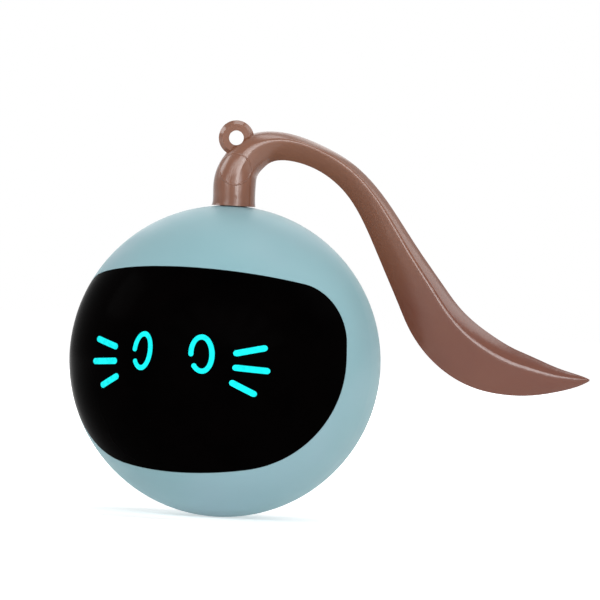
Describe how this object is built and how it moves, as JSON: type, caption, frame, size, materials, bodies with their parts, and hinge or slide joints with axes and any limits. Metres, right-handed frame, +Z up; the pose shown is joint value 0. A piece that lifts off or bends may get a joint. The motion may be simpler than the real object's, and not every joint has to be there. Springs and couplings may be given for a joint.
{
  "type": "self-rolling cat ball",
  "caption": "Hollow ball toy with a glowing face window and a swivelling cat tail, rolled from inside by a geared counterweight.",
  "frame": {"origin": "point where the ball touches the floor, straight under the ball's centre", "axes": "+Z up along the tail's swivel axis, -Y the way the face looks, +X to the right seen from the front, along the drive axle"},
  "size_m": [0.0775, 0.0485, 0.0618],
  "materials": {
    "ball_plastic": "satin",
    "visor_black": "mirror gloss",
    "light_guide": "clear, lit from behind",
    "tail_silicone": "satin",
    "board_green": "satin",
    "chip_black": "matte",
    "led_white": "gloss",
    "chassis_white": "matte",
    "gear_white": "satin",
    "steel": "satin",
    "brass": "satin",
    "copper": "satin",
    "weight_iron": "plain",
    "cell_foil": "satin",
    "pad_white": "matte",
    "button_plastic": "satin"
  },
  "bodies": {
    "ball": {"front_shell": "ball_plastic", "rear_cover": "ball_plastic", "visor": "visor_black", "face_light_guide": "light_guide", "led_board": "board_green", "face_leds": "led_white", "shell_screws": "steel", "drive_chassis": "chassis_white", "chassis_cover": "chassis_white", "chassis_screws": "steel", "left_bush": "brass", "right_bush": "brass", "gear_pin": "steel", "motor_can": "steel", "motor_end_cap": "chip_black", "motor_terminals": "copper", "battery": "cell_foil", "battery_pad": "pad_white", "main_board": "board_green", "board_screws": "steel", "control_chips": "chip_black", "charge_port": "steel", "power_switch": "chip_black"},
    "counterweight": {"counterweight": "weight_iron", "counterweight_screw": "steel", "output_gear": "gear_white", "drive_axle": "steel"},
    "reduction_gear": {"reduction_gear": "gear_white"},
    "motor_rotor": {"motor_shaft": "steel", "motor_pinion": "brass"},
    "power_button": {"power_button": "button_plastic", "switch_plunger": "chip_black"},
    "tail": {"tail": "tail_silicone", "tail_washer": "steel", "tail_screw": "steel"}
  },
  "joints": [
    {"name": "counterweight_spin", "type": "hinge", "parent": "ball", "child": "counterweight", "pos_m": [0, 0, 0.02425], "axis": [1, 0, 0], "continuous": true},
    {"name": "reduction_gear_spin", "type": "hinge", "parent": "ball", "child": "reduction_gear", "pos_m": [0, 0.00349, 0.01382], "axis": [1, 0, 0], "continuous": true},
    {"name": "motor_spin", "type": "hinge", "parent": "ball", "child": "motor_rotor", "pos_m": [0, -0.00617, 0.01641], "axis": [1, 0, 0], "continuous": true},
    {"name": "tail_swivel", "type": "hinge", "parent": "ball", "child": "tail", "pos_m": [0, 0, 0.0485], "axis": [0, 0, 1], "continuous": true},
    {"name": "power_button_press", "type": "slide", "parent": "ball", "child": "power_button", "axis": [0, -1, 0], "range_m": [0, 0.0004], "stiffness_N_per_m": 400, "springref_m": -0.0004}
  ],
  "couplings": [
    {"joint": "reduction_gear_spin", "follows": "counterweight_spin", "ratio": -3.4},
    {"joint": "motor_spin", "follows": "counterweight_spin", "ratio": 10.2}
  ]
}
